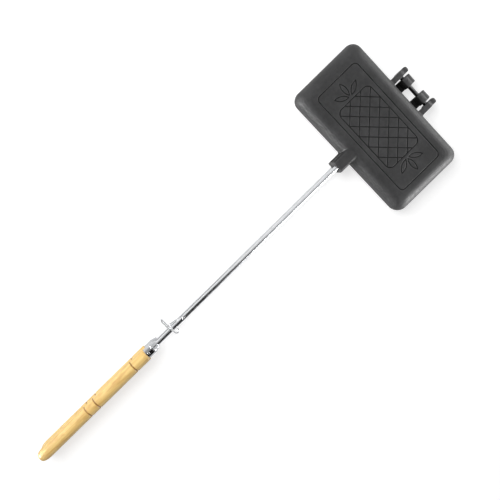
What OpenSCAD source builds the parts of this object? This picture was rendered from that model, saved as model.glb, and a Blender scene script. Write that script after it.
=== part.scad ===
// Long-handled double pie iron: two hinged cast-iron shells on steel rods
// with turned wooden handles and a swinging wire keeper.
// +X runs from the handles to the head, +Z is up, and the origin lies on the
// surface that the iron rests on, under the middle of its length.

/* [Overall] */
// Length from the ends of the handles to the tips of the hinge ears
total_length = 711; // [640:1:780]

/* [Shells] */
// Size of the head along the handles
head_length = 114.5; // [100:0.5:135]
// Size of the head across the handles
head_width = 210; // [170:1:250]
// Corner radius of the head's outline
head_corner_r = 13.5; // [11:0.5:18]
// Depth of one shell, from its flat outer face to the parting plane
shell_depth = 20; // [19:0.5:26]
// Height of the upright band along the rim
rim_band = 3; // [2:0.5:5]
// Width of the rounded edge between the rim band and the flat outer face
edge_run = 17; // [12:0.5:22]
// Corner radius of the flat outer face
face_corner_r = 9; // [6:0.5:12]
// Thickness of the iron under the flat outer face
floor_t = 4.5; // [3.5:0.25:6]
// Width of the rim around the cooking cavity
rim_w = 6.5; // [6:0.25:9]
// Width of the rounded edge at the bottom of the cavity
cavity_run = 12; // [8:0.5:16]
// Corner radius of the cavity at the rim
cavity_corner_r = 10; // [7:0.5:14]
// Gap between the two closed rims
rim_gap = 0.2; // [0.1:0.05:0.5]

/* [Locating lip] */
// Distance of the lip from the edge of the head
lip_inset = 2.4; // [2:0.1:3]
// Width of the lip on the lower shell
lip_w = 1.8; // [1.2:0.1:2.2]
// Height of the lip above the lower rim
lip_h = 1; // [0.6:0.1:1.5]
// Clearance between the lip and its groove
lip_clear = 0.35; // [0.25:0.05:0.5]

/* [Engraving] */
// Width of the engraved lines
line_w = 1.8; // [0.8:0.1:2.4]
// Depth of the engraved lines
line_depth = 0.8; // [0.4:0.1:1.2]
// Distance of the border line from the edge of the flat face
border_inset = 4; // [3:0.5:8]
// Length of the lattice panel across the head
lattice_length = 104; // [70:1:120]
// Width of the lattice panel along the handles
lattice_width = 58; // [40:1:64]
// Distance between neighbouring lattice lines
lattice_pitch = 13; // [9:0.5:18]
// Length of one leaf beside the lattice
leaf_length = 22; // [14:0.5:26]
// Width of one leaf
leaf_width = 8; // [5:0.5:10]
// Lean of the outer leaves of a spray
leaf_lean = 58; // [40:1:75]

/* [Hinge] */
// Diameter of the hinge pin
hinge_pin_d = 6; // [5:0.25:8]
// Distance of the pin's axis from the edge of the head
hinge_reach = 15; // [14.5:0.25:18]
// Reach of the ears past the pin's axis
ear_reach = 14.4; // [10:0.2:14.4]
// Thickness of each outer ear on the upper shell
ear_t = 7.6; // [5:0.2:10]
// Height of the ears above the parting plane where they leave the shell
ear_h = 9; // [8:0.5:11]
// Width of each inner lug on the lower shell
lug_w = 13.4; // [8:0.2:18]
// Reach of the lugs past the pin's axis
lug_reach = 10.9; // [8.5:0.1:12]
// Space between the two lugs
lug_space = 16.2; // [10:0.2:24]
// Space between a lug and its ear
ear_gap = 2.8; // [1:0.2:4]
// Radius of the knuckles round the pin
knuckle_r = 7; // [6:0.25:7.5]
// Radius of the lugs' noses past the pin
lug_nose_r = 4.5; // [3:0.25:6]
// Drop of the lugs' roots below the parting plane
lug_drop = 5; // [3:0.5:7]
// Thickness of the lugs' roots
lug_root_t = 9; // [6:0.5:10]
// Radial clearance of the pin in the lugs
hinge_clear = 0.08; // [0.03:0.01:0.1]

/* [Rod sockets] */
// Reach of the socket out of the head at the parting plane
socket_reach = 20; // [14:0.5:28]
// Width of the socket at the parting plane
socket_base_w = 21; // [18:0.5:26]
// Width of the socket across its flat top, before its edges are rounded
socket_top_w = 16.5; // [15:0.5:18]
// Radius of the socket's rounded top edges
socket_edge_r = 3.5; // [2:0.25:5]
// Depth of the socket's flat top below the outer face of the shell
socket_drop = 1; // [0.5:0.1:1.5]
// How far the mouth leans back between the parting plane and the flat top
socket_lean = 2.4; // [1:0.1:4]
// Width of the mouth between its slanted corners
mouth_w = 9.5; // [8:0.5:12]
// How far the slanted corners run back beside the mouth
mouth_slant = 3; // [1:0.25:4]
// Depth of the rod in its socket, past the edge of the head
rod_grip = 4; // [1:0.5:5]
// Diameter of the cross pin in the socket
socket_pin_d = 3; // [2:0.25:4]
// Distance of the cross pin from the mouth of the socket
socket_pin_at = 9; // [6:0.5:13]

/* [Rods] */
// Diameter of the rods
rod_d = 6.4; // [5.5:0.1:8]
// Radial clearance of fixed pieces in their bores
fit_clear = 0.03; // [0.02:0.01:0.05]
// Length of the rod inside the wooden handle
rod_in_handle = 70; // [40:1:120]
// Distance of the drilled eye in the upper rod from the keeper's bar
eye_ahead = 23; // [18:0.5:40]
// Diameter of the drilled eye
eye_d = 2.6; // [2:0.1:3]
// Diameter of the countersink round the drilled eye
eye_sink_d = 4.4; // [3.4:0.1:5]

/* [Handles] */
// Length of a wooden handle behind its ferrule
handle_length = 197; // [150:1:240]
// Diameter of a wooden handle
handle_d = 17.5; // [17:0.25:18.5]
// Length of the rounding at the end of a handle
handle_end_run = 13; // [8:0.5:20]
// Radius of the flat at the very end of a handle
handle_end_r = 4.5; // [2:0.25:6]
// Distance of the first groove from the ferrule
groove_1_at = 23.5; // [15:0.5:40]
// Distance of the second groove from the ferrule
groove_2_at = 92; // [60:0.5:100]
// Distance of the third groove from the ferrule
groove_3_at = 108; // [103:0.5:135]
// Width of the grooves
groove_w = 2.6; // [1.5:0.1:4]
// Depth of the grooves
groove_depth = 1; // [0.5:0.1:1.3]
// Length of the bevel beside the ferrule
shoulder_run = 1.6; // [0.8:0.1:2.5]
// Depth of the bevel beside the ferrule
shoulder_depth = 0.8; // [0.4:0.1:1.2]

/* [Ferrules] */
// Diameter of a ferrule
ferrule_d = 14.6; // [13.5:0.1:16]
// Length of the ferrule's straight sleeve
sleeve_length = 10.7; // [9:0.1:16]
// Length of the ferrule's nose
nose_length = 9; // [6:0.5:14]
// Diameter of the nose at its tip
nose_tip_d = 11; // [9.5:0.25:12.5]
// Radius of the nose's rounded tip
nose_round_r = 1.2; // [0.6:0.1:1.8]
// Width of the raised bead between sleeve and nose
bead_w = 1.8; // [1.2:0.1:2.4]
// Height of the raised bead
bead_h = 0.35; // [0.2:0.05:0.6]
// Wall of the ferrule
ferrule_wall = 0.9; // [0.6:0.1:1.2]
// Diameter of the ferrule pin's shank
ferrule_pin_d = 2; // [1.6:0.1:2.4]
// Diameter of the ferrule pin's head
ferrule_pin_head_d = 3.4; // [2.8:0.1:4]
// Height of the ferrule pin's domed head
ferrule_pin_dome = 0.8; // [0.5:0.1:1]
// Distance of the ferrule pin from the ferrule's rear edge
ferrule_pin_at = 3.6; // [3:0.1:5]

/* [Wire keeper] */
// Diameter of the wire
wire_d = 2.2; // [1.8:0.1:2.6]
// Distance of the keeper's bar from the tip of the ferrule
keeper_at = 26; // [20:0.5:60]
// Distance of the rivet ahead of the bar
keeper_arm = 13; // [10:0.5:18]
// Reach of the thumb loop from the rods' middle
thumb_reach = 20.5; // [14:0.5:26]
// Reach of the bar past the rods' middle on the other side
bar_reach = 5; // [4:0.5:8]
// Radius of the curl at the bar's free end
curl_r = 3; // [2.5:0.25:4]
// Gap between the bar and the rod that it holds
bar_gap = 0.3; // [0.2:0.05:0.5]
// Gap between the riser and the sides of the rods
riser_gap = 1; // [0.6:0.1:2]
// Gap between the two sides of the thumb loop
thumb_gap = 0.3; // [0.2:0.05:1]
// Inner bend of the wire at the foot and head of the riser
bend_r = 2.4; // [1.5:0.1:3]
// Diameter of the rivet's shank
rivet_d = 2.6; // [2.2:0.1:3]
// Diameter of the rivet's heads
rivet_head_d = 4.6; // [4:0.1:5]
// Height of each of the rivet's heads
rivet_head_h = 1; // [0.6:0.1:1.4]
// Running clearance of the eye round the rivet
rivet_clear = 0.08; // [0.05:0.01:0.1]

/* [Hidden] */

// Cuts and overlaps that only have to be larger than zero
eps = 0.01;
over = 1;

// Places along X
tip_x = total_length / 2;
hinge_x = tip_x - ear_reach;
head_back_x = hinge_x - hinge_reach;
head_front_x = head_back_x - head_length;
head_mid_x = (head_back_x + head_front_x) / 2;
socket_x = head_front_x - socket_reach;
ferrule_rear_x = -tip_x + handle_length;
ferrule_tip_x = ferrule_rear_x + sleeve_length + nose_length;
bar_x = ferrule_tip_x + keeper_at;
rivet_x = bar_x + keeper_arm;

// Heights: the lower handle and the lower shell stand on z = 0
parting_z = shell_depth;
rod_z = handle_d / 2;
rod_r = rod_d / 2;
upper_rod_z = 2 * parting_z - rod_z;

// Flanks of a socket: their lean, and half the socket's width at height z
flank_lean = atan((socket_base_w - socket_top_w) / 2 / (parting_z - socket_drop));
function socket_flank(z) = socket_base_w / 2 - (parting_z - z) * tan(flank_lean);
socket_pin_length = 2 * socket_flank(rod_z - socket_pin_d / 2);

// Hinge, from the middle outwards
lug_y = lug_space / 2 + lug_w / 2;
ear_y = lug_space / 2 + lug_w + ear_gap + ear_t / 2;
hinge_pin_length = 2 * ear_y + ear_t;

// Wooden tenon inside the ferrule
tenon_r = ferrule_d / 2 - ferrule_wall - fit_clear;
tenon_length = sleeve_length - over / 2;

// Steps in the rounded edges and corners of the shells
edge_steps = 8;
corner_steps = 8;

iron = [0.29, 0.29, 0.30];
steel = [0.80, 0.81, 0.83];
wood = [0.93, 0.79, 0.52];
wire_colour = [0.86, 0.87, 0.89];

// ---- Outlines ----

// Rectangle with true round corners
module rounded_rect(length, width, r) {
    square([length - 2 * r, width], center = true);
    square([length, width - 2 * r], center = true);
    for (sx = [-1, 1], sy = [-1, 1])
        translate([sx * (length / 2 - r), sy * (width / 2 - r)])
            circle(r = r, $fn = 64);
}

// Closed line of the shape of a rounded rectangle
module rounded_ring(length, width, r, w) {
    difference() {
        rounded_rect(length, width, r);
        rounded_rect(length - 2 * w, width - 2 * w, r - w);
    }
}

// One level of a rounded block: a rectangle with round corners at height z
function level(length, width, r, z) = [
    for (quarter = [0 : 3], i = [0 : corner_steps])
        let (
            a = 90 * (quarter + i / corner_steps),
            sx = quarter == 0 || quarter == 3 ? 1 : -1,
            sy = quarter < 2 ? 1 : -1
        )
        [sx * (length / 2 - r) + r * cos(a), sy * (width / 2 - r) + r * sin(a), z]
];

// Triangles and end faces of a skin over rings of points, one above the other
function skin(rings, sides) = concat(
    [for (i = [0 : rings - 2], k = [0 : sides - 1])
        let (near = i * sides + k, next = i * sides + (k + 1) % sides)
        each [[near, near + sides, next], [next, near + sides, next + sides]]],
    [[for (k = [0 : sides - 1]) k]],
    [[for (k = [sides - 1 : -1 : 0]) (rings - 1) * sides + k]]
);

// Rounded block whose edge curves in from z = 0 to its full height.
// A quarter ellipse as wide as run leads from the foot band to the far face.
module pillow(length, width, r_foot, r_far, band, run, height) {
    curve = [for (i = [0 : edge_steps])
        let (
            angle = 90 * i / edge_steps,
            inset = run * (1 - cos(angle)),
            r = r_foot + (r_far - r_foot) * (1 - cos(angle))
        )
        each level(length - 2 * inset, width - 2 * inset, r, band + (height - band) * sin(angle))];
    polyhedron(
        points = concat(level(length, width, r_foot, 0), curve),
        faces = skin(edge_steps + 2, 4 * (corner_steps + 1)),
        convexity = 4);
}

// ---- Shells, drawn with the outer face at z = 0 and the rim above it ----

// Cross-section of the socket with its flat top at z = socket_drop: the flanks
// lean in from the rim, and true arcs round the two top edges
module socket_outline(rim_z) {
    centre_y = socket_flank(socket_drop + socket_edge_r) - socket_edge_r / cos(flank_lean);
    centre_z = socket_drop + socket_edge_r;
    touch_y = centre_y + socket_edge_r * cos(flank_lean);
    touch_z = centre_z - socket_edge_r * sin(flank_lean);
    polygon([
        [-centre_y, socket_drop],
        [centre_y, socket_drop],
        [touch_y, touch_z],
        [socket_flank(rim_z), rim_z],
        [-socket_flank(rim_z), rim_z],
        [-touch_y, touch_z]
    ]);
    for (side = [-1, 1])
        translate([side * centre_y, centre_z])
            circle(r = socket_edge_r, $fn = 64);
}

// Socket that takes the rod, up to the plane of the rim
module socket_body(rim_z) {
    difference() {
        translate([socket_x, 0, 0])
            rotate([90, 0, 90])
                linear_extrude(socket_reach + edge_run)
                    socket_outline(rim_z);
        translate([socket_x, 0, 0])
            rotate([90, 0, 0])
                linear_extrude(socket_base_w + 2 * over, center = true)
                    polygon([[-over, -over], [socket_lean, 0], [0, parting_z], [-over, parting_z]]);
        for (side = [-1, 1])
            translate([socket_x, 0, -over])
                linear_extrude(parting_z + 2 * over)
                    polygon([
                        [-over, side * mouth_w / 2],
                        [0, side * mouth_w / 2],
                        [mouth_slant, side * socket_base_w / 2],
                        [mouth_slant, side * (socket_base_w / 2 + over)],
                        [-over, side * (socket_base_w / 2 + over)]
                    ]);
    }
}

// Blind bore for the rod and the cross hole for its pin
module socket_bores() {
    translate([socket_x - over, 0, rod_z])
        rotate([0, 90, 0])
            cylinder(h = socket_reach + rod_grip + over, r = rod_r + fit_clear, $fn = 64);
    translate([socket_x + socket_pin_at, 0, rod_z])
        rotate([90, 0, 0])
            cylinder(h = socket_base_w + 2 * over, r = socket_pin_d / 2 + fit_clear, center = true, $fn = 48);
}

// Outside of one shell with its socket, trimmed flat at the outer face
module shell_outside(rim_z) {
    difference() {
        union() {
            translate([head_mid_x, 0, rim_z])
                mirror([0, 0, 1])
                    pillow(head_length, head_width, head_corner_r, face_corner_r,
                        rim_band, edge_run, rim_z + eps);
            socket_body(rim_z);
        }
        translate([head_mid_x - head_length, -head_width, -over])
            cube([2 * head_length, 2 * head_width, over]);
    }
}

// Cooking cavity, open at the rim
module cavity(rim_z) {
    translate([head_mid_x, 0, rim_z + over])
        mirror([0, 0, 1])
            pillow(head_length - 2 * rim_w, head_width - 2 * rim_w,
                cavity_corner_r, cavity_corner_r, over, cavity_run, rim_z + over - floor_t);
}

// Plate round the hinge pin, seen from the side: z = 0 is the pin's axis,
// a round knuckle, a nose out to reach, and a root from root_x
module knuckle_plate(reach, nose_r, root_x, root_low, root_high, thickness) {
    rotate([90, 0, 0])
        linear_extrude(thickness, center = true) {
            circle(r = knuckle_r, $fn = 64);
            translate([reach - nose_r, 0])
                circle(r = nose_r, $fn = 48);
            translate([0, -nose_r])
                square([reach - nose_r, 2 * nose_r]);
            polygon([
                [root_x, root_low],
                [0, max(root_low, -knuckle_r)],
                [0, min(root_high, knuckle_r)],
                [root_x, root_high]
            ]);
        }
}

module pin_bores(y, width) {
    for (side = [-1, 1])
        translate([hinge_x, side * y, parting_z])
            rotate([90, 0, 0])
                cylinder(h = width + 2 * over, r = hinge_pin_d / 2 + hinge_clear, center = true, $fn = 64);
}

// How far the roots of ears and lugs run from the pin into the wall of a shell
root_x = -hinge_reach - rim_w + over;

// Two wide lugs that reach out from under the rim of the lower shell
module lugs() {
    for (side = [-1, 1])
        translate([hinge_x, side * lug_y, parting_z])
            knuckle_plate(lug_reach, lug_nose_r, root_x,
                -lug_drop - lug_root_t, -lug_drop, lug_w);
}

// Two thin ears of the upper shell, with round tips seen from above
module ears() {
    tip_r = ear_t / 2;
    for (side = [-1, 1])
        translate([hinge_x, side * ear_y, parting_z])
            intersection() {
                knuckle_plate(ear_reach, tip_r, root_x, rim_gap / 2, ear_h, ear_t);
                translate([0, 0, -2 * knuckle_r])
                    linear_extrude(4 * knuckle_r) {
                        translate([root_x, -tip_r])
                            square([ear_reach - tip_r - root_x, ear_t]);
                        translate([ear_reach - tip_r, 0])
                            circle(r = tip_r, $fn = 64);
                    }
            }
}

// ---- Engraving on the upper face: a latticed crust with a leaf spray at each end ----

module engraved_lattice() {
    count = ceil((lattice_length + lattice_width) / lattice_pitch / 2);
    intersection() {
        rounded_rect(lattice_width - line_w, lattice_length - line_w, face_corner_r);
        for (lean = [-45, 45], i = [-count : count])
            rotate(lean)
                translate([i * lattice_pitch, 0])
                    square([line_w, lattice_length + lattice_width], center = true);
    }
    rounded_ring(lattice_width, lattice_length, face_corner_r, line_w);
}

// Outline of one pointed leaf with its middle rib, from its stalk along +Y
module engraved_leaf() {
    half = leaf_length / 2;
    r = (half * half + leaf_width * leaf_width / 4) / leaf_width;
    difference() {
        intersection_for (side = [-1, 1])
            translate([side * (r - leaf_width / 2), half])
                circle(r = r, $fn = 128);
        intersection_for (side = [-1, 1])
            translate([side * (r - leaf_width / 2), half])
                circle(r = r - line_w, $fn = 128);
    }
    translate([-line_w / 4, leaf_length / 4])
        square([line_w / 2, leaf_length / 2]);
}

module engraved_spray() {
    for (lean = [-leaf_lean, 0, leaf_lean])
        rotate(lean)
            translate([0, line_w])
                engraved_leaf();
}

module engraving() {
    face_length = head_length - 2 * edge_run;
    face_width = head_width - 2 * edge_run;
    translate([head_mid_x, 0, -over])
        linear_extrude(over + line_depth) {
            rounded_ring(face_length - 2 * border_inset, face_width - 2 * border_inset,
                face_corner_r - border_inset / 2, line_w);
            engraved_lattice();
            for (side = [0, 180])
                rotate(side)
                    translate([0, lattice_length / 2 + line_w])
                        engraved_spray();
        }
}

// Lip that stands on the lower rim, or the groove for it with its clearance
module lip(clear) {
    translate([head_mid_x, 0, 0])
        linear_extrude(lip_h + clear)
            rounded_ring(
                head_length - 2 * (lip_inset - clear),
                head_width - 2 * (lip_inset - clear),
                head_corner_r - lip_inset + clear,
                lip_w + 2 * clear);
}

// Turns something drawn for the lower half over to the upper half
module upper_side() {
    translate([0, 0, 2 * parting_z])
        mirror([0, 0, 1])
            children();
}

module lower_shell() {
    rim_z = parting_z - rim_gap / 2;
    color(iron)
        difference() {
            union() {
                shell_outside(rim_z);
                translate([0, 0, rim_z - eps])
                    lip(0);
                lugs();
            }
            cavity(rim_z);
            socket_bores();
            pin_bores(lug_y, lug_w);
        }
}

module upper_shell() {
    rim_z = parting_z - rim_gap / 2;
    color(iron)
        difference() {
            union() {
                upper_side()
                    shell_outside(rim_z);
                ears();
            }
            upper_side() {
                cavity(rim_z);
                socket_bores();
                engraving();
            }
            translate([0, 0, parting_z + rim_gap / 2 - eps])
                lip(lip_clear);
            pin_bores(ear_y, ear_t);
        }
}

module hinge_pin() {
    color(iron)
        translate([hinge_x, 0, parting_z])
            rotate([90, 0, 0])
                cylinder(h = hinge_pin_length, d = hinge_pin_d, center = true, $fn = 64);
}

// ---- Rods, drawn at the lower half's place ----

// Room left at the bottom of a blind bore
bore_end_gap = 0.3;
rod_front_x = head_front_x + rod_grip - bore_end_gap;
rod_rear_x = ferrule_rear_x - rod_in_handle;

module rod_blank() {
    difference() {
        translate([rod_rear_x, 0, rod_z])
            rotate([0, 90, 0])
                cylinder(h = rod_front_x - rod_rear_x, r = rod_r, $fn = 64);
        translate([socket_x + socket_pin_at, 0, rod_z])
            rotate([90, 0, 0])
                cylinder(h = rod_d + 2 * over, r = socket_pin_d / 2 + fit_clear, center = true, $fn = 48);
        ferrule_pin_hole();
    }
}

module lower_rod() {
    color(steel)
        difference() {
            rod_blank();
            translate([rivet_x, 0, rod_z])
                cylinder(h = rod_d + 2 * over, r = rivet_d / 2 + fit_clear, center = true, $fn = 48);
        }
}

module upper_rod() {
    eye_x = bar_x + eye_ahead;
    sink = (eye_sink_d - eye_d) / 2;
    color(steel)
        difference() {
            upper_side()
                rod_blank();
            translate([eye_x, 0, upper_rod_z])
                cylinder(h = rod_d + 2 * over, d = eye_d, center = true, $fn = 48);
            for (side = [0, 180])
                translate([eye_x, 0, upper_rod_z])
                    rotate([side, 0, 0])
                        translate([0, 0, rod_r - sink])
                            cylinder(h = 2 * sink, d1 = eye_d, d2 = eye_d + 4 * sink, $fn = 48);
        }
}

module socket_pin() {
    translate([socket_x + socket_pin_at, 0, rod_z])
        rotate([90, 0, 0])
            cylinder(h = socket_pin_length, d = socket_pin_d, center = true, $fn = 48);
}

module lower_socket_pin() {
    color(iron)
        socket_pin();
}

module upper_socket_pin() {
    color(iron)
        upper_side()
            socket_pin();
}

// ---- Ferrules and their pins ----

module ferrule() {
    r = ferrule_d / 2;
    tip_r = nose_tip_d / 2;
    front = sleeve_length + nose_length;
    translate([ferrule_rear_x, 0, rod_z])
        rotate([0, 90, 0])
            difference() {
                rotate_extrude($fn = 96)
                    polygon(concat(
                        [[0, 0], [r, 0], [r, sleeve_length]],
                        [for (a = [0 : 30 : 180])
                            [r + bead_h * sin(a), sleeve_length + bead_w * (1 - cos(a)) / 2]],
                        [[r - bead_h, sleeve_length + bead_w]],
                        [for (a = [0 : 30 : 90])
                            [tip_r - nose_round_r * (1 - cos(a)), front - nose_round_r * (1 - sin(a))]],
                        [[0, front]]
                    ));
                translate([0, 0, -over])
                    cylinder(h = sleeve_length + over, r = r - ferrule_wall, $fn = 96);
                translate([0, 0, -over])
                    cylinder(h = front + 2 * over, r = rod_r + fit_clear, $fn = 64);
                translate([0, 0, ferrule_pin_at])
                    rotate([0, 90, 0])
                        cylinder(h = ferrule_d, r = ferrule_pin_d / 2 + fit_clear, $fn = 32);
            }
}

// Hole for the ferrule pin, from the outer side in to past the rod
module ferrule_pin_hole() {
    translate([ferrule_rear_x + ferrule_pin_at, 0, -over])
        cylinder(h = rod_z + rod_r + over + 2 * bore_end_gap, r = ferrule_pin_d / 2 + fit_clear, $fn = 32);
}

module ferrule_pin() {
    head_r = ferrule_pin_head_d / 2;
    ball_r = (head_r * head_r + ferrule_pin_dome * ferrule_pin_dome) / (2 * ferrule_pin_dome);
    translate([ferrule_rear_x + ferrule_pin_at, 0, rod_z - ferrule_d / 2 - eps]) {
        cylinder(h = ferrule_d / 2 + rod_r + bore_end_gap, d = ferrule_pin_d, $fn = 32);
        intersection() {
            translate([0, 0, ball_r - ferrule_pin_dome])
                sphere(r = ball_r, $fn = 64);
            translate([0, 0, -ferrule_pin_dome])
                cylinder(h = ferrule_pin_dome, r = head_r, $fn = 48);
        }
    }
}

module lower_ferrule() {
    color(steel)
        ferrule();
}

module upper_ferrule() {
    color(steel)
        upper_side()
            ferrule();
}

module lower_ferrule_pin() {
    color(steel)
        ferrule_pin();
}

module upper_ferrule_pin() {
    color(steel)
        upper_side()
            ferrule_pin();
}

// ---- Handles ----

module handle() {
    r = handle_d / 2;
    steps = 8;
    flank = [for (i = [0 : steps])
        [
            handle_end_r + (r - handle_end_r) * cos(90 * i / steps),
            handle_length - handle_end_run + handle_end_run * sin(90 * i / steps)
        ]];
    groove_r = (groove_w * groove_w / 4 + groove_depth * groove_depth) / (2 * groove_depth);
    difference() {
        translate([ferrule_rear_x, 0, rod_z])
            rotate([0, -90, 0])
                difference() {
                    union() {
                        rotate_extrude($fn = 96)
                            polygon(concat(
                                [[0, 0], [r - shoulder_depth, 0], [r, shoulder_run]],
                                flank,
                                [[0, handle_length]]
                            ));
                        translate([0, 0, -tenon_length])
                            cylinder(h = tenon_length + eps, r = tenon_r, $fn = 96);
                    }
                    for (at = [groove_1_at, groove_2_at, groove_3_at])
                        translate([0, 0, at])
                            rotate_extrude($fn = 96)
                                translate([r + groove_r - groove_depth, 0])
                                    circle(r = groove_r, $fn = 32);
                    translate([0, 0, -tenon_length - over])
                        cylinder(h = tenon_length + rod_in_handle + over + bore_end_gap,
                            r = rod_r + fit_clear, $fn = 64);
                }
        ferrule_pin_hole();
    }
}

module lower_handle() {
    color(wood)
        handle();
}

module upper_handle() {
    color(wood)
        upper_side()
            handle();
}

// ---- Wire keeper ----

// Room above and below the keeper's eye and under the rivet's lower head
eye_gap = 0.2;
eye_z = rod_z + rod_r + eye_gap + wire_d / 2;
eye_r = rivet_d / 2 + rivet_clear + wire_d / 2;

module latch_rivet() {
    top = eye_z + wire_d / 2 + eye_gap;
    bottom = rod_z - rod_r - eye_gap;
    color(steel)
        translate([rivet_x, 0, 0]) {
            translate([0, 0, bottom])
                cylinder(h = top - bottom, d = rivet_d, $fn = 48);
            translate([0, 0, top - eps])
                cylinder(h = rivet_head_h, d1 = rivet_head_d, d2 = rivet_d, $fn = 48);
            translate([0, 0, bottom - rivet_head_h + eps])
                cylinder(h = rivet_head_h, d1 = rivet_d, d2 = rivet_head_d, $fn = 48);
        }
}

function unit(v) = v / norm(v);

// Corner of a route as an arc of radius r, from the way in to the way out
function corner(before, at, after, r, steps) =
    let (
        u = unit(at - before),
        v = unit(after - at),
        turn = acos(u * v),
        w = unit(v - (u * v) * u),
        start = at - r * tan(turn / 2) * u
    )
    [for (i = [0 : steps])
        let (a = turn * i / steps)
        start + r * (sin(a) * u + (1 - cos(a)) * w)];

// Route through all the points with its inner corners rounded
function rounded_route(points, radii, steps) = concat(
    [points[0]],
    [for (i = [1 : len(points) - 2])
        each corner(points[i - 1], points[i], points[i + 1], radii[i - 1], steps)],
    [points[len(points) - 1]]
);

function heading(route, i) =
    i == 0 ? unit(route[1] - route[0]) :
    i == len(route) - 1 ? unit(route[i] - route[i - 1]) :
    unit(unit(route[i + 1] - route[i]) + unit(route[i] - route[i - 1]));

function square_to(side, way) = unit(side - (side * way) * way);

// Round bar swept along a route
module swept_bar(route, d, start_side, sides) {
    last = len(route) - 1;
    across = [for (
        i = 0, side = square_to(start_side, heading(route, 0));
        i <= last;
        i = i + 1, side = i <= last ? square_to(side, heading(route, i)) : side
    ) side];
    points = [for (i = [0 : last], k = [0 : sides - 1])
        let (a = 360 * k / sides, way = heading(route, i))
        route[i] + d / 2 * (cos(a) * across[i] + sin(a) * cross(way, across[i]))];
    polyhedron(points = points, faces = skin(last + 1, sides), convexity = 8);
}

module latch_wire() {
    bar_z = upper_rod_z + rod_r + bar_gap + wire_d / 2;
    riser_y = rod_r + wire_d / 2 + riser_gap;
    loop_gap = wire_d + thumb_gap;
    thumb_y = thumb_reach - wire_d / 2;
    // From the eye back along the lower rod, up beside the upper rod, out to the
    // thumb loop, back across the upper rod and round the curl at the free end
    corners = [
        [rivet_x, eye_r, eye_z],
        [bar_x - loop_gap / 2, riser_y, eye_z],
        [bar_x - loop_gap / 2, riser_y, bar_z],
        [bar_x - loop_gap / 2, thumb_y, bar_z],
        [bar_x + loop_gap / 2, thumb_y, bar_z],
        [bar_x + loop_gap / 2, -bar_reach - curl_r, bar_z],
        [bar_x + loop_gap / 2 + 2 * curl_r, -bar_reach - curl_r, bar_z],
        [bar_x + loop_gap / 2 + 2 * curl_r, -bar_reach + curl_r / 2, bar_z]
    ];
    thumb_r = loop_gap / 2 - 2 * eps;
    free_r = curl_r - 2 * eps;
    radii = [bend_r, bend_r, thumb_r, thumb_r, free_r, free_r];
    color(wire_colour) {
        translate([rivet_x, 0, eye_z])
            rotate_extrude($fn = 64)
                translate([eye_r, 0])
                    circle(d = wire_d, $fn = 24);
        swept_bar(rounded_route(corners, radii, 6), wire_d, [0, 0, 1], 12);
    }
}

lower_shell();
lower_rod();
lower_socket_pin();
lower_ferrule();
lower_ferrule_pin();
lower_handle();
upper_shell();
upper_rod();
upper_socket_pin();
upper_ferrule();
upper_ferrule_pin();
upper_handle();
hinge_pin();
latch_rivet();
latch_wire();
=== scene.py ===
"""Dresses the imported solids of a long-handled pie iron for a studio picture.

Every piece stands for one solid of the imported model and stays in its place.
Sizes are in metres, with +X towards the head and +Z up.
"""

import math

import bmesh
import bpy
import numpy as np
from bpy.props import FloatProperty, FloatVectorProperty, PointerProperty
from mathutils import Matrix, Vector, noise


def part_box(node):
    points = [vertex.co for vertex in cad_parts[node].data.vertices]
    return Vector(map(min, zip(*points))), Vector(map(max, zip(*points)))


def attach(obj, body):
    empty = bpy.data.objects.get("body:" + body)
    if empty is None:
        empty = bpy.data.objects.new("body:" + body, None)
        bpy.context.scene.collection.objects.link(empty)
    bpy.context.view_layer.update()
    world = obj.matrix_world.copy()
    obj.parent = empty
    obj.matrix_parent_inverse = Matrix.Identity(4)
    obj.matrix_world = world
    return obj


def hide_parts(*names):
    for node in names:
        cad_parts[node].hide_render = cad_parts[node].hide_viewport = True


bl_info = {
    "name": "Pie Iron",
    "version": (1, 0, 0),
    "blender": (4, 5, 0),
    "location": "3D View > Sidebar > Pie Iron",
    "description": "Cast shells, steel rods, turned handles and a wire keeper",
    "category": "Object",
}

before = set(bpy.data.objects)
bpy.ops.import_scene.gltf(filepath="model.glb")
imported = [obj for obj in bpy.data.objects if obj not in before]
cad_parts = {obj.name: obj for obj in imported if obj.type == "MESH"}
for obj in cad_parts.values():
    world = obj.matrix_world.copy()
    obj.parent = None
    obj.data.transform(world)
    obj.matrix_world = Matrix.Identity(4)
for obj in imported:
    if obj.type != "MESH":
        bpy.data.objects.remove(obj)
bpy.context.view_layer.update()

MM = 0.001

# Corners closer together than this count as one
WELD = 0.001 * MM

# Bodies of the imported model
LOWER = "lower_half"
UPPER = "upper_half"
KEEPER = "latch"

# Height of the plane where the closed shells meet
MIDDLE_Z = 20 * MM

# Stretches of the cast shells over which a mark fades, measured from the hinge pin
LUG_ROOTS = (-17 * MM, -14.5 * MM)
LUG_ENDS = (-4.5 * MM, -2.5 * MM)
KNUCKLES = (-13 * MM, -9 * MM)

# The same, measured from the mouth of the sockets
SEAM_END = (22 * MM, 30 * MM)
FLANK_END = (20 * MM, 24 * MM)

# Heights above or below the parting plane over which the painted shade of the seam fades
SEAM_HEIGHT = (0.8 * MM, 3.5 * MM)

# The flat outer faces of the shells: distance from the hinge pin to their middle,
# half their length, and the width of the rounded band outside them
FACE_FROM_PIN = 72.25 * MM
FACE_HALF_LENGTH = 38.5 * MM
FACE_BAND = 18.5 * MM

# A bulge or hollow of this radius or less counts in full
RUBBED_RADIUS = 1.6 * MM
GROOVE_RADIUS = 0.9 * MM
CORNER_RADIUS = 2.0 * MM

# Sizes of the bumps in the skin of a casting or a handle, each with its share of the depth
SAND_SKIN = ((9 * MM, 0.5), (2.2 * MM, 0.5))
TURNED_SKIN = ((40 * MM, 0.7), (3 * MM, 0.3))

# Length of the turned part of a handle
HANDLE_LENGTH = 197 * MM

# The large light: its place, its aim and its size
MAIN_LIGHT = ((-0.05, 0.75, 1.15), (0.0, 0.0, 0.02), (1.0, 0.9))

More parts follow.
